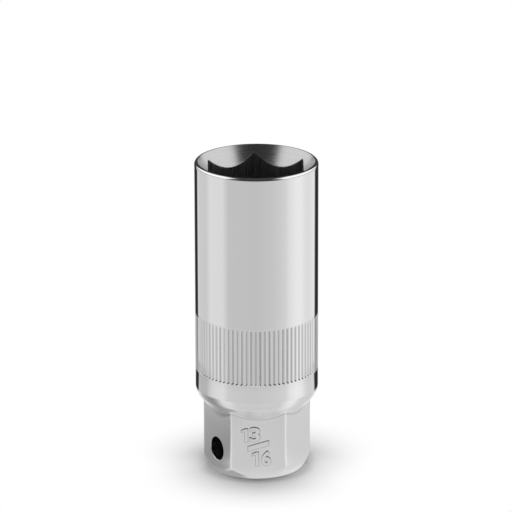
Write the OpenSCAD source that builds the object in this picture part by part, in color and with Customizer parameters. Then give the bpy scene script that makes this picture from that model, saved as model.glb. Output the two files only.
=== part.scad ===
// Deep spark plug socket for a 3/8 inch square drive.
// The drive end stands on z = 0 and the axis runs up +Z to the mouth.
// The cross hole for the drive ball is in the flat that faces -X.

/* [Barrel] */
// Length from the drive end to the mouth
body_length = 69.85; // [66:0.05:76]
// Outside diameter of the polished barrel
barrel_d = 27; // [26.5:0.1:29]
// Radius on the outer edge of the mouth
rim_radius = 0.6; // [0.3:0.05:0.8]
// Width of the flat ring on top of the rim
rim_land = 0.15; // [0.1:0.05:0.4]
// Height at which the shoulder cone and the straight barrel meet
shoulder_z = 17.6; // [16.5:0.1:19]
// Half angle of the shoulder cone
shoulder_angle = 38; // [30:1:45]
// Radius on the edge between the barrel and the shoulder cone
shoulder_radius = 2; // [1:0.25:3]

/* [Grip grooves] */
// Number of straight grooves around the barrel
groove_count = 82; // [40:1:90]
// Depth of each groove
groove_depth = 0.28; // [0.15:0.01:0.4]
// Width of each groove at the barrel surface
groove_width = 0.56; // [0.3:0.02:0.7]
// Height of the square lower ends of the grooves
groove_z = 22.8; // [22:0.1:24]
// Length of the grooves
groove_length = 12.8; // [8:0.1:16]
// Length over which the grooves run out at their upper ends
groove_fade = 1.2; // [0.8:0.2:4]

/* [Wrench hexagon] */
// Distance across the outer flats
wrench_af = 20.64; // [20:0.02:21.5]
// Diameter to which the outer corners are turned
wrench_corner_d = 23.5; // [23:0.1:23.8]
// Radius of the flat foot on the drive end
foot_r = 10.2; // [9.6:0.05:10.3]
// Width and height of the broken edge around the foot
foot_edge = 0.25; // [0.1:0.05:0.4]
// Height at which the chamfer above the foot meets the corners
foot_chamfer = 2.4; // [1.5:0.1:3]

/* [Drive] */
// Distance across the square drive hole
drive_af = 9.6; // [9.5:0.02:9.7]
// Depth of the square drive hole
drive_depth = 13; // [11:0.5:14]
// Depth of the countersink at the mouth of the drive hole
drive_chamfer = 1.2; // [0.5:0.1:1.8]
// Height of the cross hole and of the ball groove
detent_z = 5.35; // [4.5:0.05:6.5]
// Diameter of the cross hole
detent_d = 5.3; // [4:0.1:6]
// Depth of the ball groove in the walls of the drive hole
detent_groove_depth = 0.7; // [0.4:0.05:0.9]
// Width of the ball groove
detent_groove_width = 2.6; // [2:0.1:3.5]

/* [Inner hexagon] */
// Size of the inner hexagon across its flats
plug_af = 20.64; // [20:0.02:20.8]
// Clearance added across the flats of the inner hexagon
plug_clearance = 0.12; // [0.05:0.01:0.25]
// Depth of the inner hexagon below the mouth
plug_depth = 18.5; // [16:0.5:21]
// Half angle of the lead-in cone at the mouth
lead_angle = 30; // [25:1:40]

/* [Chamber] */
// Diameter of the round chamber below the inner hexagon
chamber_d = 18.6; // [18:0.1:19.4]
// Height of the chamber's straight wall above the drive end
chamber_z = 22; // [21:0.5:24]
// Diameter of the passage from the chamber to the drive hole
passage_d = 10; // [8:0.5:11]
// Depth of the groove that holds the insert
seat_depth = 1; // [0.6:0.1:1.5]
// Width of the groove that holds the insert
seat_width = 3; // [2:0.1:4]
// Distance from the inner hexagon down to the groove
seat_drop = 3.5; // [2.5:0.1:5]

/* [Rubber insert] */
// Length of the insert
insert_length = 17; // [15:0.5:20]
// Diameter inside the grip ribs
grip_d = 10.6; // [10:0.1:11.5]
// Diameter of the funnel at the insert's upper end
funnel_d = 16.4; // [14:0.1:17]
// Depth of the funnel
funnel_depth = 3.6; // [2:0.1:4.5]
// Depth of the two ring grooves between the grip ribs
rib_depth = 0.9; // [0.5:0.1:1.2]
// Clearance of the insert's bead in its groove
bead_clearance = 0.1; // [0.05:0.01:0.2]
// Gap between the insert's upper end and the inner hexagon
insert_drop = 0.4; // [0.2:0.1:1]

/* [Hidden] */
$fn = 96;
hex_sides = 6;
hex_ratio = cos(180 / hex_sides);
cut_over = 1;
drill_angle = 59;
barrel_r = barrel_d / 2;
mouth_r = barrel_r - rim_radius - rim_land;
mouth_hex_af = plug_af + plug_clearance;
plug_floor_z = body_length - plug_depth;
lead_depth = (mouth_r - mouth_hex_af / 2) / tan(lead_angle) + cut_over;
chamber_r = chamber_d / 2;
passage_r = passage_d / 2;
chamber_cone = (chamber_r - passage_r) / tan(drill_angle);
seat_top_z = plug_floor_z - seat_drop;
insert_top_z = plug_floor_z - insert_drop;
insert_low_z = insert_top_z - insert_length;
bead_r = chamber_r + seat_depth - bead_clearance;
bead_top_z = seat_top_z - bead_clearance;
bead_low_z = seat_top_z - seat_width + bead_clearance;
grip_r = grip_d / 2;
rib_pitch = (insert_length - funnel_depth) / 5;

// Solid barrel with its rounded rim and conical shoulder, before it is bored
module barrel_blank() {
  round_r = barrel_r - shoulder_radius;
  round_z = shoulder_z + shoulder_radius * tan(shoulder_angle / 2);
  cone_low_r = wrench_af / 2 - cut_over;
  cone_low_z = shoulder_z - (barrel_r - cone_low_r) / tan(shoulder_angle);
  rotate_extrude() {
    translate([0, round_z])
      square([barrel_r, body_length - rim_radius - round_z]);
    translate([0, round_z])
      square([barrel_r - rim_radius, body_length - round_z]);
    translate([barrel_r - rim_radius, body_length - rim_radius])
      circle(rim_radius);
    translate([round_r, round_z])
      circle(shoulder_radius);
    polygon([
      [0, cone_low_z],
      [cone_low_r, cone_low_z],
      [
        round_r + shoulder_radius * cos(shoulder_angle),
        round_z - shoulder_radius * sin(shoulder_angle)
      ],
      [round_r, round_z],
      [0, round_z]
    ]);
  }
}

// Hexagonal prism with its flats facing +X and -X
module hexagon(af, height) {
  rotate(180 / hex_sides)
    cylinder(h = height, d = af / hex_ratio, $fn = hex_sides);
}

// Wrench hexagon with turned corners and a chamfered foot
module wrench_end() {
  corner_r = wrench_corner_d / 2;
  intersection() {
    hexagon(wrench_af, shoulder_z);
    rotate_extrude()
      polygon([
        [0, 0],
        [foot_r, 0],
        [foot_r + foot_edge, foot_edge],
        [corner_r, foot_chamfer],
        [corner_r, shoulder_z],
        [0, shoulder_z]
      ]);
  }
}

// V-shaped cutters that stand around the barrel and run out at the top
module grip_grooves() {
  slope = groove_width / 2 / groove_depth;
  rise = groove_depth / groove_fade;
  cone_h = 2 * groove_fade + 2 * cut_over;
  difference() {
    translate([0, 0, groove_z])
      linear_extrude(groove_length + cut_over)
        for (i = [0 : groove_count - 1])
          rotate(i * 360 / groove_count)
            polygon([
              [barrel_r - groove_depth, 0],
              [barrel_r + cut_over, -slope * (groove_depth + cut_over)],
              [barrel_r + cut_over, slope * (groove_depth + cut_over)]
            ]);
    translate([0, 0, groove_z + groove_length - 2 * groove_fade])
      cylinder(
        h = cone_h,
        r1 = barrel_r - 2 * groove_depth,
        r2 = barrel_r - 2 * groove_depth + rise * cone_h
      );
  }
}

// Lead-in cone and inner hexagon of the mouth, with a corner facing +X
module plug_cavity() {
  rotate(180 / hex_sides) {
    translate([0, 0, plug_floor_z])
      hexagon(mouth_hex_af, plug_depth + cut_over);
    translate([0, 0, body_length - lead_depth])
      cylinder(
        h = lead_depth + cut_over,
        r1 = mouth_r - lead_depth * tan(lead_angle),
        r2 = mouth_r + cut_over * tan(lead_angle)
      );
  }
}

// Round chamber, its drilled floor and the groove that holds the insert
module insulator_chamber() {
  translate([0, 0, chamber_z])
    cylinder(h = plug_floor_z + cut_over - chamber_z, r = chamber_r);
  translate([0, 0, chamber_z - chamber_cone])
    cylinder(h = chamber_cone, r1 = passage_r, r2 = chamber_r);
  translate([0, 0, seat_top_z - seat_width])
    cylinder(h = seat_width, r = chamber_r + seat_depth);
  translate([0, 0, drive_depth - cut_over])
    cylinder(h = chamber_z - drive_depth, r = passage_r);
}

// Square drive hole with its countersink, ball groove and cross hole
module drive_hole() {
  drive_r = drive_af / 2;
  translate([-drive_r, -drive_r, -cut_over])
    cube([drive_af, drive_af, drive_depth + cut_over]);
  translate([0, 0, -cut_over])
    cylinder(
      h = drive_chamfer + 2 * cut_over,
      r1 = drive_r + drive_chamfer + cut_over,
      r2 = drive_r - cut_over
    );
  translate([0, 0, detent_z - detent_groove_width / 2])
    cylinder(h = detent_groove_width, r = drive_r + detent_groove_depth);
  translate([0, 0, detent_z])
    rotate([0, -90, 0])
      cylinder(h = wrench_af, d = detent_d);
}

// Chrome plated steel socket, one piece
module socket_body() {
  color("#c9cbcf")
    difference() {
      union() {
        barrel_blank();
        wrench_end();
      }
      grip_grooves();
      plug_cavity();
      insulator_chamber();
      drive_hole();
    }
}

// Moulded rubber sleeve with three grip ribs that snaps into the chamber
module rubber_insert() {
  grip_top_z = insert_top_z - funnel_depth;
  color("#1d1e20")
    difference() {
      rotate_extrude()
        polygon([
          [grip_r, insert_low_z],
          [chamber_r, insert_low_z],
          [chamber_r, bead_low_z],
          [bead_r, bead_low_z],
          [bead_r, bead_top_z],
          [chamber_r, bead_top_z],
          [chamber_r, insert_top_z],
          [funnel_d / 2, insert_top_z],
          [grip_r, grip_top_z]
        ]);
      for (i = [1, 3])
        translate([0, 0, grip_top_z - (i + 1) * rib_pitch])
          cylinder(h = rib_pitch, r = grip_r + rib_depth);
    }
}

socket_body();
rubber_insert();
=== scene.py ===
import math

import bmesh
import bpy
from mathutils import Matrix, Vector


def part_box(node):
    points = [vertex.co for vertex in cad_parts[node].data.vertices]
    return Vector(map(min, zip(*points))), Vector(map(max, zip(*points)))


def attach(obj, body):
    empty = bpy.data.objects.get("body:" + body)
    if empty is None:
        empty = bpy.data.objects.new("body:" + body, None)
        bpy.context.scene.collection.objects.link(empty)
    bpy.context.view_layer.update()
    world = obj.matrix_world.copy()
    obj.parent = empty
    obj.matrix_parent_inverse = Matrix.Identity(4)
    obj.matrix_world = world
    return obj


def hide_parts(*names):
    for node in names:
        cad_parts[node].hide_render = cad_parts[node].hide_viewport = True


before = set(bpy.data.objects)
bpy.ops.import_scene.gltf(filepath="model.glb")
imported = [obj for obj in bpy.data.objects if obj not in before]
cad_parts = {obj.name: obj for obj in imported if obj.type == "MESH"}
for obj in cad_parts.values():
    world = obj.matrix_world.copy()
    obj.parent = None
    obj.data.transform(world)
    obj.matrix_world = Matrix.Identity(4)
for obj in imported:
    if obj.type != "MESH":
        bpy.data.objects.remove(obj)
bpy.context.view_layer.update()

# Socket body: one piece of forged steel, turned, broached and then chrome plated.
# Its wall is one closed section spun about the axis. The wrench hexagon, the inner hexagon, the
# drive square and the grip grooves are then shaped in the spun rings. All sizes are in mm.
MM = 0.001
body_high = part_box("socket_body")[1]
body_length = body_high.z / MM
barrel_r = body_high.x / MM
rim_radius = 0.6
rim_land = 0.15
rim_steps = 9
shoulder_z = 17.6
shoulder_angle = math.radians(38)
shoulder_slope = math.tan(shoulder_angle)
shoulder_radius = 4.0
shoulder_top = shoulder_z + shoulder_radius * math.tan(shoulder_angle / 2)
shoulder_fillet = 0.5
crease_z = 16.8
crease_slope = 1.11
# Painted shade on the flats just below the shoulder
crease_shade = 1.1
crease_shade_low = 0.55
crease_shade_high = 0.2
wrench_half = 10.32
wrench_corner_r = 11.75
corner_fillet = 0.16
foot_r = 10.2
foot_edge = 0.25
foot_chamfer = 2.4
foot_fillet = 0.2
groove_count = 82
groove_depth = 0.28
groove_half = 0.28
groove_z = 22.8
groove_top = 35.6
groove_fade = 0.4
groove_end = 0.07
# Painted shade in the grip grooves, stronger in some grooves than others and fading out at the top of the
# band
groove_shade = 0.64
groove_shade_spread = 0.85
groove_shade_fade = 1.1
groove_shade_beat = 2.4
columns_per_groove = 6
column_places = (0, 0.125, 0.272, 0.5)
mouth_r = barrel_r - rim_radius - rim_land
mouth_half = 10.38
mouth_corner_r = 11.9
mouth_depth = 18.5
mouth_floor_z = body_length - mouth_depth
lead_slope = math.tan(math.radians(30))
lead_low = 65.2
lead_tilt = 0.3
chamber_r = 9.3
chamber_z = 22.0
chamber_cone_z = 19.42
chamber_break = 0.1
seat_r = 10.3
seat_drop = 3.5
seat_width = 3.0
seat_top = mouth_floor_z - seat_drop
seat_low = seat_top - seat_width
passage_r = 5.0
passage_low = 12.0
passage_step = 0.05
drive_half = 4.8
drive_corner_r = 6.5
drive_depth = 13.0
drive_chamfer = 1.2
detent_z = 5.35
detent_r = 2.65
ball_groove_depth = 0.7
ball_groove_r = drive_half + ball_groove_depth
ball_groove_half = 1.3
ball_groove_step = 0.02
cut_edge = 0.05
sharp_angle = math.radians(34)


def spread(first, last, count):
    """Evenly spaced values from first to last, both included."""
    return [first + (last - first) * i / (count - 1) for i in range(count)]


def soft_min(a, b, size):
    """The smaller of a and b, with the crease between them rounded over size."""
    share = max(size - abs(a - b), 0) / size
    return min(a, b) - share * share * size / 4


def soft_max(a, b, size):
    """The larger of a and b, with the crease between them filled over size."""
    return -soft_min(-a, -b, size)


def polygon_r(angle, half, sides, turn):
    """Distance from the axis to a polygon's side at an angle, with a side facing turn."""
    sector = 2 * math.pi / sides
    return half / math.cos((angle - turn + sector / 2) % sector - sector / 2)


def gathered(angle):
    """The angle of a column once it is moved toward the middle or an edge of its groove."""
    pitch = 2 * math.pi / groove_count
    number = round(angle / pitch)
    column = round((angle / pitch - number) * columns_per_groove)
    return (number + math.copysign(column_places[abs(column)], column)) * pitch


def groove_share(angle, z, fade):
    """Share of the full groove depth at a place on the barrel, less over fade at the top."""
    pitch = 2 * math.pi / groove_count
    across = abs((angle + pitch / 2) % pitch - pitch / 2) * barrel_r
    if z < groove_z or z > groove_top:
        return 0
    return min(max(1 - across / groove_half, 0), (groove_top - z) / fade)


def groove_painted_shade(angle, z):
    """Painted shade in a groove, a little different from one groove to the next."""
    number = round(angle / (2 * math.pi / groove_count)) % groove_count
    amount = groove_shade * (1 + groove_shade_spread * math.sin(groove_shade_beat * number * number))
    return amount * groove_share(angle, z, groove_shade_fade)


def round_wall(angle, r, z):
    """A round ring, left as it was spun."""
    return r


def wrench_wall(angle, r, z):
    """The wrench hexagon with its turned corners, chamfered foot and conical shoulder."""
    flats = polygon_r(angle, wrench_half, 6, 0)
    prism = soft_min(flats, wrench_corner_r, corner_fillet)
    chamfer_slope = (wrench_corner_r - foot_r - foot_edge) / (foot_chamfer - foot_edge)
    chamfer = foot_r + foot_edge + (z - foot_edge) * chamfer_slope
    prism = soft_min(soft_min(prism, chamfer, foot_fillet), foot_r + z, foot_fillet)
    drop = max(shoulder_top - z, 0)
    shoulder = barrel_r - max(shoulder_z - z, 0) * shoulder_slope
    if drop < shoulder_radius * math.sin(shoulder_angle):
        shoulder = barrel_r - shoulder_radius + math.sqrt(shoulder_radius ** 2 - drop ** 2)
    return soft_max(prism, shoulder, shoulder_fillet)


def crease_share(angle, z):
    """Share of the painted shade on the flats just below the shoulder."""
    flats = soft_min(polygon_r(angle, wrench_half, 6, 0), wrench_corner_r, corner_fillet)
    below = crease_z - (barrel_r - flats) / crease_slope - z
    return max(min(1 - below / crease_shade_low, 1 + below / crease_shade_high), 0)


def grooved_wall(angle, r, z):
    """The barrel with its grip grooves."""
    return r - groove_depth * groove_share(angle, z, groove_fade)


def mouth_wall(angle, r, z):
    """The inner hexagon with the lead-in cone of the mouth."""
    flats = polygon_r(angle, mouth_half, 6, math.pi / 6)
    hexagon = soft_min(flats, mouth_corner_r, corner_fillet)
    return soft_max(hexagon, mouth_r - (body_length - z) * lead_slope, cut_edge)


def drive_wall(angle, r, z):
    """The drive square with its countersink and ball groove, and the end of the passage."""
    hole = soft_min(polygon_r(angle, drive_half, 4, 0), drive_corner_r, corner_fillet)
    if z > passage_low:
        hole = max(hole, passage_r)
    if abs(z - detent_z) < ball_groove_half:
        hole = max(hole, ball_groove_r)
    return soft_max(hole, drive_half + drive_chamfer - z, cut_edge)


# The heights of the rings, which lie close together where the wall bends
chamfer_rows = spread(0.08, 2.9, 31)
flat_rows = [3.3, 7.5, 11.6]
crease_rows = spread(12.2, 16.6, 36)
shoulder_rows = spread(16.75, shoulder_top, 12)
wrench_rows = [0] + chamfer_rows + flat_rows + crease_rows + shoulder_rows
groove_rows = [groove_z - groove_end, groove_z + groove_end, groove_z + 0.4]
groove_rows += spread(groove_top - groove_fade - 0.2, groove_top, 8)
band_rows = [19.3, 22.3]
barrel_rows = [36.0, body_length - 1.3, body_length - 0.8]
outside = [(foot_r, z, wrench_wall) for z in wrench_rows]
outside += [(barrel_r, z, round_wall) for z in band_rows]
outside += [(barrel_r, z, grooved_wall) for z in groove_rows]
outside += [(barrel_r, z, round_wall) for z in barrel_rows]
for turn in spread(0, math.pi / 2, rim_steps):
    outside.append((
        barrel_r - rim_radius * (1 - math.cos(turn)),
        body_length - rim_radius * (1 - math.sin(turn)),
        round_wall,
    ))
mouth_rows = [body_length, body_length - 0.15] + spread(body_length - 0.3, lead_low, 28)
mouth_rows += [64.6, 60, 52.2, 51.6, mouth_floor_z]
drive_rows = [drive_depth, passage_low + passage_step, passage_low - passage_step, 11.5, 7.2]
for end in (detent_z + ball_groove_half, detent_z - ball_groove_half):
    drive_rows += [end + ball_groove_step, end - ball_groove_step]
drive_rows += [3.4, 1.8] + spread(1.5, 0, 12)
inside = [(mouth_r, z, mouth_wall) for z in mouth_rows]
inside += [
    (r, z, round_wall)
    for r, z in (
        (chamber_r + chamber_break, mouth_floor_z),
        (chamber_r, mouth_floor_z - chamber_break),
        (chamber_r, seat_top),
        (seat_r, seat_top),
        (seat_r, seat_low),
        (chamber_r, seat_low),
        (chamber_r, seat_low - 0.5),
        (chamber_r, chamber_z + 0.5),
        (chamber_r, chamber_z),
        (passage_r, chamber_cone_z),
        (passage_r, chamber_cone_z - 0.3),
        (passage_r, drive_depth),
    )
]
inside += [(drive_half, z, drive_wall) for z in drive_rows]
section = outside + inside

bm = bmesh.new()
row_of = bm.verts.layers.int.new("row")
painted_shade = bm.verts.layers.float.new("painted_shade")
ring = []
for row, (r, z, wall) in enumerate(section):
    point = bm.verts.new((r * MM, 0, z * MM))
    point[row_of] = row
    ring.append(point)
edges = [bm.edges.new((a, b)) for a, b in zip(ring, ring[1:] + ring[:1])]
bmesh.ops.spin(
    bm, geom=ring + edges, cent=(0, 0, 0), axis=(0, 0, 1), angle=2 * math.pi,
    steps=groove_count * columns_per_groove, use_merge=True,
)
for point in bm.verts:
    r, z, wall = section[point[row_of]]
    angle = gathered(math.atan2(point.co.y, point.co.x))
    # Painted shade laid in the grooves and on the flats below the shoulder
    if wall is grooved_wall:
        point[painted_shade] = groove_painted_shade(angle, z)
    if wall is wrench_wall:
        point[painted_shade] = crease_shade * crease_share(angle, z)
    r = wall(angle, r, z) * MM
    point.co = (r * math.cos(angle), r * math.sin(angle), z * MM)
bmesh.ops.recalc_face_normals(bm, faces=bm.faces)
for face in bm.faces:
    face.smooth = True
    bored = min(point[row_of] for point in face.verts) >= len(outside)
    lead_in = face.normal.z > lead_tilt and face.calc_center_median().z > lead_low * MM
    face.material_index = (2 if lead_in else 1) if bored else 0
bm.verts.layers.int.remove(row_of)
body_mesh = bpy.data.meshes.new("socket_shell")
bm.to_mesh(body_mesh)
bm.free()
body = bpy.data.objects.new("socket_shell", body_mesh)
bpy.context.collection.objects.link(body)

# The cross hole for the drive ball is drilled through the flat that faces -X,
# with its outer edge broken. Its wall is left unpolished.
detent_break = 0.05
drill_start = 1.0
drill_reach = 13.0
drill_steps = 96
weld_distance = 0.001
drill_path = [
    (drill_start, 0),
    (drill_start, detent_r),
    (wrench_half - detent_break, detent_r),
    (wrench_half + detent_break, detent_r + 2 * detent_break),
    (drill_reach, detent_r + 2 * detent_break),
    (drill_reach, 0),
]
bm = bmesh.new()
ring = [bm.verts.new((-x * MM, 0, (detent_z + r) * MM)) for x, r in drill_path]
edges = [bm.edges.new(pair) for pair in zip(ring, ring[1:])]
bmesh.ops.spin(
    bm, geom=ring + edges, cent=(0, 0, detent_z * MM), axis=(1, 0, 0), angle=2 * math.pi,
    steps=drill_steps, use_merge=True,
)
bmesh.ops.remove_doubles(bm, verts=bm.verts, dist=weld_distance * MM)
bmesh.ops.recalc_face_normals(bm, faces=bm.faces)
for face in bm.faces:
    face.smooth = True
    face.material_index = int(face.calc_center_median().x > -(wrench_half - detent_break) * MM)
drill_mesh = bpy.data.meshes.new("drill")
bm.to_mesh(drill_mesh)
bm.free()
drill = bpy.data.objects.new("drill", drill_mesh)
bpy.context.collection.objects.link(drill)
drilling = body.modifiers.new("cross_hole", "BOOLEAN")
drilling.operation = "DIFFERENCE"
drilling.solver = "EXACT"
drilling.object = drill


def new_material(name, colour, roughness, metallic):
    """A material with a Principled shader, and the Object coordinates that its detail reads."""
    material = bpy.data.materials.new(name)
    material.use_nodes = True
    nodes = material.node_tree.nodes
    shader = nodes["Principled BSDF"]
    shader.inputs["Base Color"].default_value = (*colour, 1)
    shader.inputs["Metallic"].default_value = metallic
    shader.inputs["Roughness"].default_value = roughness
    place = nodes.new("ShaderNodeTexCoord").outputs["Object"]
    return material.node_tree, shader, place


def add_noise(tree, place, scale, detail, stretch=(1, 1, 1)):
    """Noise in the piece's own coordinates, drawn out along an axis where stretch is small."""
    mapping = tree.nodes.new("ShaderNodeMapping")
    mapping.inputs["Scale"].default_value = stretch
    tree.links.new(place, mapping.inputs["Vector"])
    noise = tree.nodes.new("ShaderNodeTexNoise")
    noise.inputs["Scale"].default_value = scale
    noise.inputs["Detail"].default_value = detail
    tree.links.new(mapping.outputs["Vector"], noise.inputs["Vector"])
    return noise.outputs["Fac"]


def add_range(tree, value, low, high, to_low=0, to_high=1):
    """Maps value from low..high to to_low..to_high, held at both ends."""
    span = tree.nodes.new("ShaderNodeMapRange")
    for name, number in zip(("From Min", "From Max", "To Min", "To Max"), (low, high, to_low, to_high)):
        span.inputs[name].default_value = number
    tree.links.new(value, span.inputs["Value"])
    return span.outputs["Result"]


def add_mix(tree, share, first, second):
    """Mixes two numbers by share."""
    mix = tree.nodes.new("ShaderNodeMix")
    tree.links.new(share, mix.inputs["Factor"])
    tree.links.new(first, mix.inputs["A"])
    tree.links.new(second, mix.inputs["B"])
    return mix.outputs["Result"]


def add_bump(tree, shader, height, strength, depth):
    """Gives the shader a fine relief."""
    bump = tree.nodes.new("ShaderNodeBump")
    bump.inputs["Strength"].default_value = strength
    bump.inputs["Distance"].default_value = depth
    tree.links.new(height, bump.inputs["Height"])
    tree.links.new(bump.outputs["Normal"], shader.inputs["Normal"])


# Chrome plate, polished on the barrel and satin on the hexagon end, darker where painted shade lies in the
# grooves, under the shoulder and at the foot of the size mark
satin_low, satin_high = 17.4, 19.4
bright_low, bright_high = 21, 23
hexagon_grey, barrel_grey = 0.85, 0.80
full_shade, shaded_share = 3, 0.28
tree, shader, place = new_material("chrome_plate", (barrel_grey,) * 3, roughness=0.06, metallic=1)
split = tree.nodes.new("ShaderNodeSeparateXYZ")
tree.links.new(place, split.inputs["Vector"])
satin = add_range(tree, split.outputs["Z"], satin_low * MM, satin_high * MM, 1, 0)
smear = add_noise(tree, place, scale=90, detail=4)
polished = add_range(tree, smear, 0.35, 0.7, to_low=0.04, to_high=0.075)
plated = add_range(tree, smear, 0.35, 0.7, to_low=0.22, to_high=0.28)
tree.links.new(add_mix(tree, satin, polished, plated), shader.inputs["Roughness"])
lathe_lines = add_noise(tree, place, scale=5000, detail=2, stretch=(0.01, 0.01, 1))
forging = add_noise(tree, place, scale=700, detail=3)
relief = add_mix(tree, satin, add_range(tree, lathe_lines, 0, 1, to_low=0.47, to_high=0.53), forging)
add_bump(tree, shader, relief, strength=0.1, depth=0.02 * MM)
# The painted shade attribute darkens the plate's colour, down to this share where it is full
shade_attribute = tree.nodes.new("ShaderNodeAttribute")
shade_attribute.attribute_name = "painted_shade"
plate = add_range(tree, split.outputs["Z"], bright_low * MM, bright_high * MM, hexagon_grey, barrel_grey)
shade_factor = add_range(tree, shade_attribute.outputs["Fac"], 0, full_shade, 1, shaded_share)
toned = tree.nodes.new("ShaderNodeMath")
toned.operation = "MULTIPLY"
tree.links.new(plate, toned.inputs[0])
tree.links.new(shade_factor, toned.inputs[1])
tree.links.new(toned.outputs["Value"], shader.inputs["Base Color"])

# Broached and drilled walls, scored along the axis. Their grey is set darker than bare steel as painted
# shade, so that the cross hole and the inside read dark.
tree, shader, place = new_material("bored_steel", (0.36, 0.36, 0.36), roughness=0.3, metallic=1)
scores = add_noise(tree, place, scale=2200, detail=2, stretch=(1, 1, 0.03))
tree.links.new(add_range(tree, scores, 0.3, 0.7, to_low=0.25, to_high=0.42), shader.inputs["Roughness"])
add_bump(tree, shader, scores, strength=0.25, depth=0.03 * MM)

# Lead-in cone of the mouth, with fine rings from the lathe
tree, shader, place = new_material("turned_steel", (0.52, 0.52, 0.52), roughness=0.25, metallic=1)
rings = add_noise(tree, place, scale=6000, detail=2, stretch=(0.01, 0.01, 1))
tree.links.new(add_range(tree, rings, 0.3, 0.7, to_low=0.22, to_high=0.3), shader.inputs["Roughness"])
add_bump(tree, shader, rings, strength=0.15, depth=0.02 * MM)

for name in ("chrome_plate", "bored_steel", "turned_steel"):
    body.data.materials.append(bpy.data.materials[name])
    drill.data.materials.append(bpy.data.materials[name])
cut = body.evaluated_get(bpy.context.evaluated_depsgraph_get())
drilled = bpy.data.meshes.new_from_object(cut)
body.modifiers.clear()
body.data = drilled
bpy.data.objects.remove(drill)
body.data.set_sharp_from_angle(angle=sharp_angle)
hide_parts("socket_body")
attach(body, "root")

# Size mark: the size of the inner hexagon as a fraction, forged proud of one wrench flat.
# The two numbers and the bar are low raised strokes with sloping edges, under the same plate.
mark_azimuth = math.radians(240)
mark_height = 0.07
mark_edge = 0.26
# Painted shade along the foot of the strokes, fading toward their tops
mark_shade = 1.6
mark_shade_power = 4
mark_top_tilt = 0.999
mark_sharp_angle = math.radians(30)
digit_size = 4.4
digit_bold = 0.28
# Each round digit with its place across and up the flat, and its stretch in width
round_digits = (("3", -0.76, 10.2, 1.16), ("6", 1.65, 4.62, 0.95))
one_places = ((-2.67, 10.18), (-0.34, 4.68))
one_path = (
    (-0.46, -1.75), (0.46, -1.75), (0.46, 1.75), (-0.3, 1.75), (-1.2, 1.3), (-1.2, 0.55), (-0.46, 0.8),
)
bar_across = -0.05
bar_up = 7.72
bar_reach = 2.4
bar_rise = 0.69
bar_half = 0.7
bar_corners = ((-1, -1), (1, -1), (1, 1), (-1, 1))
mark_out = Vector((math.cos(mark_azimuth), math.sin(mark_azimuth), 0))
mark_right = Vector((0, 0, 1)).cross(mark_out)
on_flat = Matrix((mark_right, (0, 0, 1), mark_out)).transposed().to_4x4()
on_flat.translation = mark_out * wrench_half * MM

bm = bmesh.new()
for digit, across, up, stretch in round_digits:
    curve = bpy.data.curves.new("mark", "FONT")
    curve.body = digit
    curve.size = digit_size * MM
    curve.align_x = "CENTER"
    curve.align_y = "CENTER"
    curve.bevel_depth = mark_edge * MM
    curve.bevel_resolution = 1
    curve.offset = (digit_bold - mark_edge) * MM
    holder = bpy.data.objects.new("mark", curve)
    bpy.context.collection.objects.link(holder)
    shaped = holder.evaluated_get(bpy.context.evaluated_depsgraph_get())
    digit_mesh = bpy.data.meshes.new_from_object(shaped)
    bpy.data.objects.remove(holder)
    digit_mesh.transform(Matrix.Diagonal((stretch, 1, 1, 1)))
    digit_mesh.transform(Matrix.Translation((across * MM, up * MM, 0)))
    bm.from_mesh(digit_mesh)
strokes = [[(across + x, up + y) for x, y in one_path] for across, up in one_places]
strokes.append([
    (bar_across + side * bar_reach, bar_up + side * bar_rise + edge * bar_half)
    for side, edge in bar_corners
])
for stroke in strokes:
    base = bm.faces.new([bm.verts.new((x * MM, y * MM, -mark_edge * MM)) for x, y in stroke])
    raised = bmesh.ops.extrude_face_region(bm, geom=[base])["geom"]
    lifted = [v for v in raised if isinstance(v, bmesh.types.BMVert)]
    bmesh.ops.translate(bm, verts=lifted, vec=(0, 0, 2 * mark_edge * MM))
    top = next(f for f in raised if isinstance(f, bmesh.types.BMFace))
    bmesh.ops.bevel(
        bm, geom=list(top.edges), offset=mark_edge * MM, affect="EDGES",
        segments=2, profile=0.5, material=-1,
    )
bmesh.ops.scale(bm, vec=(1, 1, mark_height / mark_edge), verts=bm.verts)
bmesh.ops.recalc_face_normals(bm, faces=bm.faces)
# Painted shade on each stroke, full at its foot and none at its top
painted_shade = bm.verts.layers.float.new("painted_shade")
for point in bm.verts:
    point[painted_shade] = mark_shade * (1 - max(point.co.z / (mark_height * MM), 0) ** mark_shade_power)
for face in bm.faces:
    face.smooth = face.normal.z < mark_top_tilt
bmesh.ops.transform(bm, matrix=on_flat, verts=bm.verts)
mark_mesh = bpy.data.meshes.new("size_mark")
bm.to_mesh(mark_mesh)
bm.free()
mark_mesh.set_sharp_from_angle(angle=mark_sharp_angle)
mark_mesh.materials.append(bpy.data.materials["chrome_plate"])
mark = bpy.data.objects.new("size_mark", mark_mesh)
bpy.context.collection.objects.link(mark)
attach(mark, "root")

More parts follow.
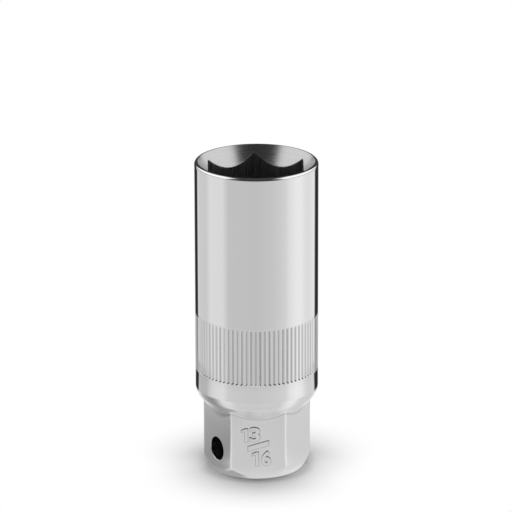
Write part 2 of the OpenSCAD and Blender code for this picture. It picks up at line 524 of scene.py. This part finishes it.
# Rubber insert: a black moulded sleeve that snaps into a groove in the chamber by its bead.
# It has three grip ribs, round edges and a fine matt mould texture.
insert_low, insert_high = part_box("rubber_insert")
insert_base = insert_low.z / MM
insert_top = insert_high.z / MM
bead_r = insert_high.x / MM
bead_clearance = 0.1
bead_top = seat_top - bead_clearance
bead_base = seat_low + bead_clearance
grip_r = 5.3
funnel_r = 8.2
funnel_depth = 3.6
grip_top = insert_top - funnel_depth
rib_count = 3
rib_pitch = (grip_top - insert_base) / (2 * rib_count - 1)
recess_r = 6.2
insert_edge = 0.3
sleeve_steps = 96
sleeve_path = [
    (grip_r, insert_base),
    (chamber_r, insert_base),
    (chamber_r, bead_base),
    (bead_r, bead_base),
    (bead_r, bead_top),
    (chamber_r, bead_top),
    (chamber_r, insert_top),
    (funnel_r, insert_top),
    (grip_r, grip_top),
]
for step in range(1, 2 * rib_count - 1, 2):
    high = grip_top - step * rib_pitch
    low = high - rib_pitch
    sleeve_path += [(grip_r, high), (recess_r, high), (recess_r, low), (grip_r, low)]
bm = bmesh.new()
ring = [bm.verts.new((r * MM, 0, z * MM)) for r, z in sleeve_path]
for a, b in zip(ring, ring[1:] + ring[:1]):
    bm.edges.new((a, b))
bmesh.ops.bevel(
    bm, geom=bm.verts[:], offset=insert_edge * MM, affect="VERTICES",
    segments=3, profile=0.5, material=-1,
)
bmesh.ops.spin(
    bm, geom=bm.verts[:] + bm.edges[:], cent=(0, 0, 0), axis=(0, 0, 1), angle=2 * math.pi,
    steps=sleeve_steps, use_merge=True,
)
bmesh.ops.recalc_face_normals(bm, faces=bm.faces)
for face in bm.faces:
    face.smooth = True
insert_mesh = bpy.data.meshes.new("rubber_sleeve")
bm.to_mesh(insert_mesh)
bm.free()
tree, shader, place = new_material("black_rubber", (0.022, 0.022, 0.024), roughness=0.62, metallic=0)
bloom = add_noise(tree, place, scale=320, detail=5)
tree.links.new(add_range(tree, bloom, 0.3, 0.7, to_low=0.5, to_high=0.72), shader.inputs["Roughness"])
mould = add_noise(tree, place, scale=3000, detail=2)
add_bump(tree, shader, mould, strength=0.3, depth=0.05 * MM)
insert_mesh.materials.append(bpy.data.materials["black_rubber"])
insert = bpy.data.objects.new("rubber_sleeve", insert_mesh)
bpy.context.collection.objects.link(insert)
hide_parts("rubber_insert")
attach(insert, "root")

# Camera: the photograph's own view, a long lens a little above the socket. It is fitted to
# the barrel's edges, the rim and the ring of groove ends.
camera_azimuth = math.radians(-31.9)
camera_rise = math.radians(18.22)
camera_roll = math.radians(-0.13)
camera_distance = 900
camera_aim = Vector((-0.12 * MM, 0, 48.14 * MM))
focal_pixels = 4121.2
image_pixels = 512
sensor_mm = 36
camera_back = Vector((
    math.sin(camera_azimuth) * math.cos(camera_rise),
    -math.cos(camera_azimuth) * math.cos(camera_rise),
    math.sin(camera_rise),
))
lens = bpy.data.cameras.new("camera")
lens.sensor_width = sensor_mm
lens.lens = focal_pixels * sensor_mm / image_pixels
camera = bpy.data.objects.new("camera", lens)
camera_aim.rotate(Matrix.Rotation(camera_azimuth, 3, "Z"))
camera.location = camera_aim + camera_back * camera_distance * MM
upright = camera_back.to_track_quat("Z", "Y").to_matrix()
camera.rotation_euler = (upright @ Matrix.Rotation(camera_roll, 3, "Z")).to_euler()
bpy.context.collection.objects.link(camera)
bpy.context.scene.camera = camera

# Studio: a white floor and a white surround. The polished barrel mirrors grey and white bands
# around it, with a dark gap on each side behind it. The hexagon end mirrors rings of such bands on
# the floor. Each pair below is an angle in degrees from the camera's side, and a grey.
front = camera_azimuth - math.pi / 2
barrel_bands = (
    (-180, 0.5), (-170, 0.5), (-163, 0.03), (-145, 0.03), (-140.5, 0.82), (-133, 0.72), (-108, 0.72),
    (-96, 0.87), (-66, 0.85), (-54, 0.66), (0, 0.64), (30, 0.685), (54, 0.78), (64, 0.9), (80, 1.0),
    (92, 1.0), (104, 0.9), (116, 0.88), (136, 0.96), (142, 0.03), (163, 0.03), (170, 0.5), (180, 0.5),
)
near_bands = (
    (-180, 0.9), (-132, 0.9), (-122, 0.6), (-112, 0.44), (-92, 0.32), (-84, 0.32), (-76, 0.40),
    (-62, 0.85), (-46, 0.85), (-36, 0.72), (0, 0.71), (40, 0.72), (54, 0.96), (68, 0.96), (82, 0.73),
    (122, 0.715), (134, 0.95), (180, 0.95),
)
foot_bands = (
    (-180, 0.85), (-130, 0.8), (-104, 0.47), (-70, 0.43), (-20, 0.44), (-10, 0.77), (0, 0.79), (26, 0.79),
    (40, 0.86), (60, 0.88), (90, 0.86), (120, 0.8), (180, 0.85),
)
flat_bands = (
    (-180, 0.85), (-130, 0.8), (-104, 0.45), (-76, 0.33), (-62, 0.33), (-46, 0.79), (40, 0.78), (60, 0.76),
    (120, 0.78), (180, 0.85),
)
low_bands = (
    (-180, 0.5), (-156, 0.5), (-150, 0.03), (-132, 0.03), (-127.5, 0.62), (-121, 0.525), (-106.5, 0.525),
    (-99, 0.54), (-88, 0.73), (-77, 0.8), (-60.5, 0.83), (-49.5, 0.7), (-42, 0.68), (0, 0.66), (27.5, 0.69),
    (49.5, 0.75), (58.5, 0.88), (73.5, 0.97), (84.5, 0.93), (95.5, 0.78), (106.5, 0.72), (123.5, 0.77),
    (129, 0.03), (150, 0.03), (156, 0.5), (180, 0.5),
)
# Rings on the floor, with the distances from the axis over which each takes over
floor_rings = (
    (8, 9, foot_bands), (11.6, 12, flat_bands), (13, 17, near_bands), (42, 52, low_bands),
)
floor_rings_end = (74, 79)
contact_bands = (
    (-180, 0), (-116, 0.04), (-85, 0.24), (-47, 0.2), (-25, 0.13), (0, 0.06), (17, 0.1), (45, 0.23),
    (80, 0.3), (115, 0.11), (180, 0),
)
side_bands = (
    (-180, 0), (-116, 0.09), (-86, 0.2), (-57, 0.13), (0, 0.04), (31, 0.09), (58, 0.21), (86, 0.21),
    (115, 0.1), (180, 0),
)
contact_ring = (10.8, 18)
white_ring = (15, 30)
sky_panels = (
    (-180, 0.04), (-150, 0.04), (-140, 1.0), (-60, 1.0), (-48, 0.04),
    (44, 0.04), (56, 1.0), (140, 1.0), (150, 0.04), (180, 0.04),
)


def around(tree, direction, stops):
    """A grey that depends only on the angle about the axis, counted from the camera's side."""
    split = tree.nodes.new("ShaderNodeSeparateXYZ")
    tree.links.new(direction, split.inputs["Vector"])
    angle = tree.nodes.new("ShaderNodeMath")
    angle.operation = "ARCTAN2"
    tree.links.new(split.outputs["Y"], angle.inputs[0])
    tree.links.new(split.outputs["X"], angle.inputs[1])
    turned = tree.nodes.new("ShaderNodeMath")
    turned.operation = "SUBTRACT"
    tree.links.new(angle.outputs["Value"], turned.inputs[0])
    turned.inputs[1].default_value = front
    wrapped = tree.nodes.new("ShaderNodeMath")
    wrapped.operation = "WRAP"
    tree.links.new(turned.outputs["Value"], wrapped.inputs[0])
    wrapped.inputs[1].default_value = math.pi
    wrapped.inputs[2].default_value = -math.pi
    ramp = tree.nodes.new("ShaderNodeValToRGB")
    tree.links.new(add_range(tree, wrapped.outputs["Value"], -math.pi, math.pi), ramp.inputs["Fac"])
    marks = ramp.color_ramp.elements
    while len(marks) < len(stops):
        marks.new(0.5)
    for stop, (degrees, grey) in zip(marks, stops):
        stop.position = (degrees + 180) / 360
        stop.color = (grey, grey, grey, 1)
    return ramp.outputs["Color"]


def mix_shaders(tree, share, first, second):
    """Mixes two shaders by share."""
    mix = tree.nodes.new("ShaderNodeMixShader")
    tree.links.new(share, mix.inputs["Fac"])
    tree.links.new(first, mix.inputs[1])
    tree.links.new(second, mix.inputs[2])
    return mix.outputs["Shader"]


# The floor, where the camera sees a soft shadow around the foot that fades to plain white.
# The contact and side bands are a faint glow that makes the shadow paler at the sides.
floor_half = 3000
floor_grey = 0.88
foot_shade = 0.02
bm = bmesh.new()
bmesh.ops.create_grid(bm, x_segments=1, y_segments=1, size=floor_half * MM)
floor_mesh = bpy.data.meshes.new("floor")
bm.to_mesh(floor_mesh)
bm.free()
floor = bpy.data.objects.new("floor", floor_mesh)
bpy.context.collection.objects.link(floor)
white = bpy.data.materials.new("white_floor")
white.use_nodes = True
tree = white.node_tree
tree.nodes.clear()


def glowing(tree, colour=None, strength=1):
    """An emission with a colour from another node, or plain white."""
    glow = tree.nodes.new("ShaderNodeEmission")
    glow.inputs["Color"].default_value = (1, 1, 1, 1)
    glow.inputs["Strength"].default_value = strength
    if colour:
        tree.links.new(colour, glow.inputs["Color"])
    return glow.outputs["Emission"]


path = tree.nodes.new("ShaderNodeLightPath")
place = tree.nodes.new("ShaderNodeTexCoord").outputs["Object"]
radius = tree.nodes.new("ShaderNodeVectorMath")
radius.operation = "LENGTH"
tree.links.new(place, radius.inputs[0])
radius = radius.outputs["Value"]
matt = tree.nodes.new("ShaderNodeBsdfDiffuse")
matt.inputs["Color"].default_value = (floor_grey, floor_grey, floor_grey, 1)
lit = tree.nodes.new("ShaderNodeAddShader")
tree.links.new(matt.outputs["BSDF"], lit.inputs[0])
low, high = contact_ring
contact = mix_shaders(
    tree, add_range(tree, radius, low * MM, high * MM),
    glowing(tree, around(tree, place, contact_bands)), glowing(tree, around(tree, place, side_bands)),
)
tree.links.new(contact, lit.inputs[1])
low, high = white_ring
fade = add_range(tree, radius, low * MM, high * MM)
ground = mix_shaders(tree, fade, lit.outputs["Shader"], glowing(tree))
seen = mix_shaders(tree, path.outputs["Is Camera Ray"], matt.outputs["BSDF"], ground)
hidden = tree.nodes.new("ShaderNodeBsdfTransparent").outputs["BSDF"]
mirrored = glowing(tree, strength=foot_shade)
for low, high, bands in floor_rings:
    share = add_range(tree, radius, low * MM, high * MM)
    mirrored = mix_shaders(tree, share, mirrored, glowing(tree, around(tree, place, bands)))
low, high = floor_rings_end
mirrored = mix_shaders(tree, add_range(tree, radius, low * MM, high * MM), mirrored, hidden)
# The rings light no matt surface
mirrored = mix_shaders(tree, path.outputs["Diffuse Depth"], mirrored, glowing(tree, strength=0))
output = tree.nodes.new("ShaderNodeOutputMaterial")
surface = mix_shaders(tree, path.outputs["Is Glossy Ray"], seen, mirrored)
tree.links.new(surface, output.inputs["Surface"])
floor_mesh.materials.append(white)

# The surround, white to the camera. In reflections the bands stand below the horizon and
# two white panels above it, with dark between them and overhead.
ambient = 0.3
dark = 0.06
panel_strength = 1.2
bands_end = (-0.06, -0.03)
panels_start = (0.08, 0.12)
panels_end = (0.86, 0.93)
world = bpy.data.worlds.new("studio")
bpy.context.scene.world = world
world.use_nodes = True
tree = world.node_tree
tree.nodes.clear()


def shining(tree, colour=None, strength=1):
    """A world background with a colour from another node, or plain white."""
    shine = tree.nodes.new("ShaderNodeBackground")
    shine.inputs["Color"].default_value = (1, 1, 1, 1)
    shine.inputs["Strength"].default_value = strength
    if colour:
        tree.links.new(colour, shine.inputs["Color"])
    return shine.outputs["Background"]


path = tree.nodes.new("ShaderNodeLightPath")
place = tree.nodes.new("ShaderNodeTexCoord").outputs["Generated"]
split = tree.nodes.new("ShaderNodeSeparateXYZ")
tree.links.new(place, split.inputs["Vector"])
rise = split.outputs["Z"]
seen = mix_shaders(tree, path.outputs["Is Camera Ray"], shining(tree, strength=ambient), shining(tree))
mirrored = shining(tree, around(tree, place, barrel_bands))
panels = shining(tree, around(tree, place, sky_panels), panel_strength)
for span, above in (
    (bands_end, shining(tree, strength=dark)),
    (panels_start, panels),
    (panels_end, shining(tree, strength=dark)),
):
    mirrored = mix_shaders(tree, add_range(tree, rise, *span), mirrored, above)
# The bands and panels light no matt surface either
mirrored = mix_shaders(tree, path.outputs["Diffuse Depth"], mirrored, shining(tree, strength=0))
output = tree.nodes.new("ShaderNodeOutputWorld")
surface = mix_shaders(tree, path.outputs["Is Glossy Ray"], seen, mirrored)
tree.links.new(surface, output.inputs["Surface"])

# Two lamps that light only the floor and the rubber. Each has its reach toward the camera,
# its height, its width and depth, and its power in watts.
lamps = (
    ("top_light", 4, 250, 80, 80, 0.46),
    ("back_light", -300, 500, 300, 120, 0.4),
)
toward_camera = Vector((math.cos(front), math.sin(front), 0))
for name, reach, height, wide, deep, watts in lamps:
    light = bpy.data.lights.new(name, "AREA")
    light.shape = "RECTANGLE"
    light.size = wide * MM
    light.size_y = deep * MM
    light.energy = watts
    lamp = bpy.data.objects.new(name, light)
    lamp.location = toward_camera * reach * MM + Vector((0, 0, height * MM))
    lamp.rotation_euler = (0, 0, camera_azimuth)
    lamp.visible_glossy = False
    bpy.context.collection.objects.link(lamp)

bpy.context.scene.view_settings.view_transform = "Standard"
